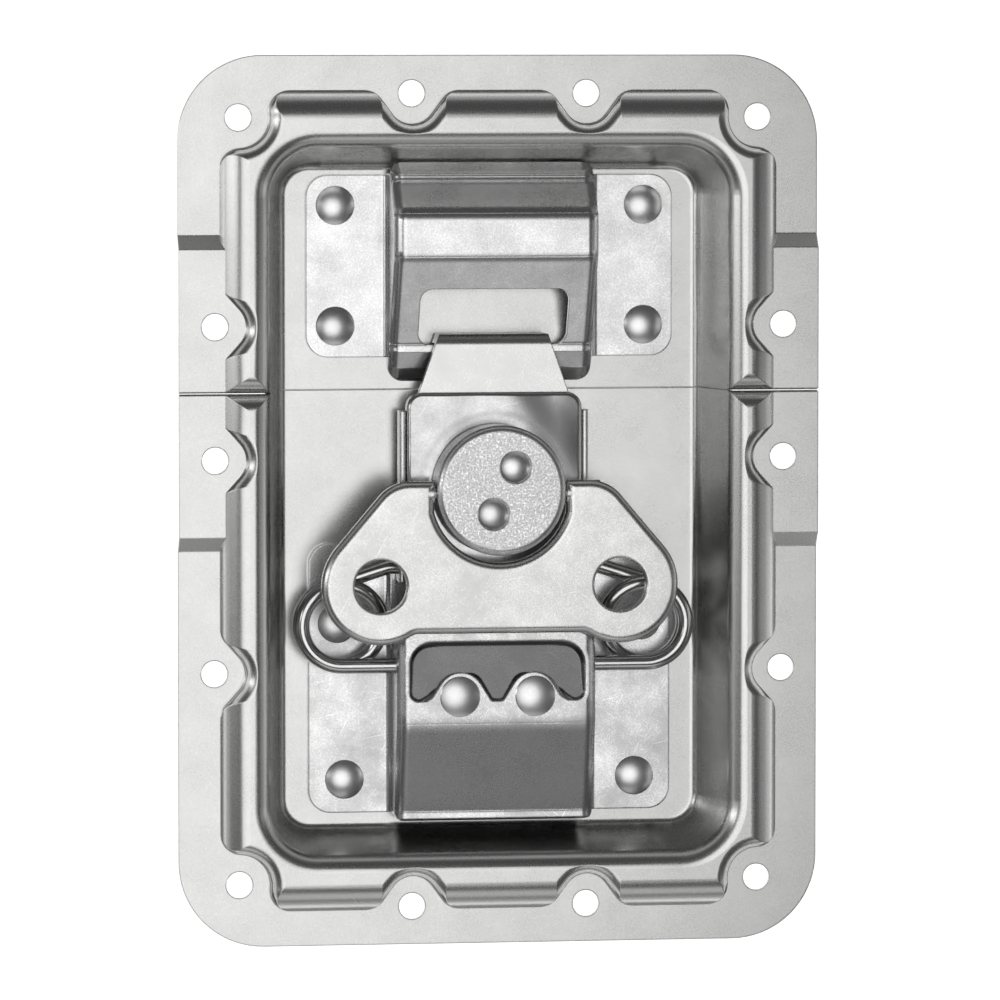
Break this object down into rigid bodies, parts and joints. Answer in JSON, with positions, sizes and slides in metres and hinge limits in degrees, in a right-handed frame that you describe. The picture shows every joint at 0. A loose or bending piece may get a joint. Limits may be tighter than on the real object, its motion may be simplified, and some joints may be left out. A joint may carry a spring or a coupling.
{
  "type": "butterfly case latch",
  "caption": "Recessed butterfly twist latch for a flight case: split pressed dish, riveted strike, sloping bracket, wire spring, sliding hook, turn knob and folding wing handle.",
  "frame": {"origin": "centre of the four corner screw holes, on the underside of the low flange", "axes": "+Y from the base half to the lid half, +Z out of the case, +X across the latch"},
  "size_m": [0.125, 0.172, 0.0197],
  "materials": {
    "dish_steel": "bright zinc plate, fine satin",
    "keeper_steel": "bright zinc plate, smooth",
    "bracket_steel": "tumbled zinc plate, scratched",
    "rivet_steel": "bright zinc plate",
    "wire_steel": "bright zinc plated wire",
    "carrier_steel": "polished zinc plate, rubbed round the knob",
    "hook_steel": "zinc plate, matte",
    "knob_metal": "cast zinc, fine grain",
    "wing_steel": "zinc plate, satin, lightly scratched"
  },
  "bodies": {
    "dish": {"lid_dish": "dish_steel", "base_dish": "dish_steel", "keeper": "keeper_steel", "keeper_rivet_1": "rivet_steel", "keeper_rivet_2": "rivet_steel", "keeper_rivet_3": "rivet_steel", "keeper_rivet_4": "rivet_steel", "bracket": "bracket_steel", "bracket_rivet_1": "rivet_steel", "bracket_rivet_2": "rivet_steel", "bracket_rivet_3": "rivet_steel", "bracket_rivet_4": "rivet_steel", "clamp_rivet_1": "rivet_steel", "clamp_rivet_2": "rivet_steel", "wire_clamp": "bracket_steel"},
    "carrier": {"wire_spring": "wire_steel", "carrier_tray": "carrier_steel", "carrier_cover": "carrier_steel"},
    "knob": {"knob": "knob_metal", "cam": "rivet_steel", "cam_washer": "rivet_steel", "knob_pin_1": "rivet_steel", "knob_pin_2": "rivet_steel", "wing_pin": "rivet_steel"},
    "hook": {"hook": "hook_steel"},
    "wing": {"wing": "wing_steel"}
  },
  "joints": [
    {"name": "latch_swing", "type": "hinge", "parent": "dish", "child": "carrier", "pos_m": [0, -0.0323, -0.0044], "axis": [1, 0, 0], "range_deg": [0, 85]},
    {"name": "knob_turn", "type": "hinge", "parent": "carrier", "child": "knob", "pos_m": [0, 0.002, 0], "axis": [0, 0, 1], "range_deg": [0, 180]},
    {"name": "hook_slide", "type": "slide", "parent": "carrier", "child": "hook", "axis": [0, 1, 0], "range_m": [0, 0.007]},
    {"name": "wing_lift", "type": "hinge", "parent": "knob", "child": "wing", "pos_m": [0, 0.0014, 0.0018], "axis": [-1, 0, 0], "range_deg": [0, 90]}
  ],
  "couplings": [
    {"joint": "hook_slide", "follows": "knob_turn", "m_per_rad": 0.0022282}
  ]
}
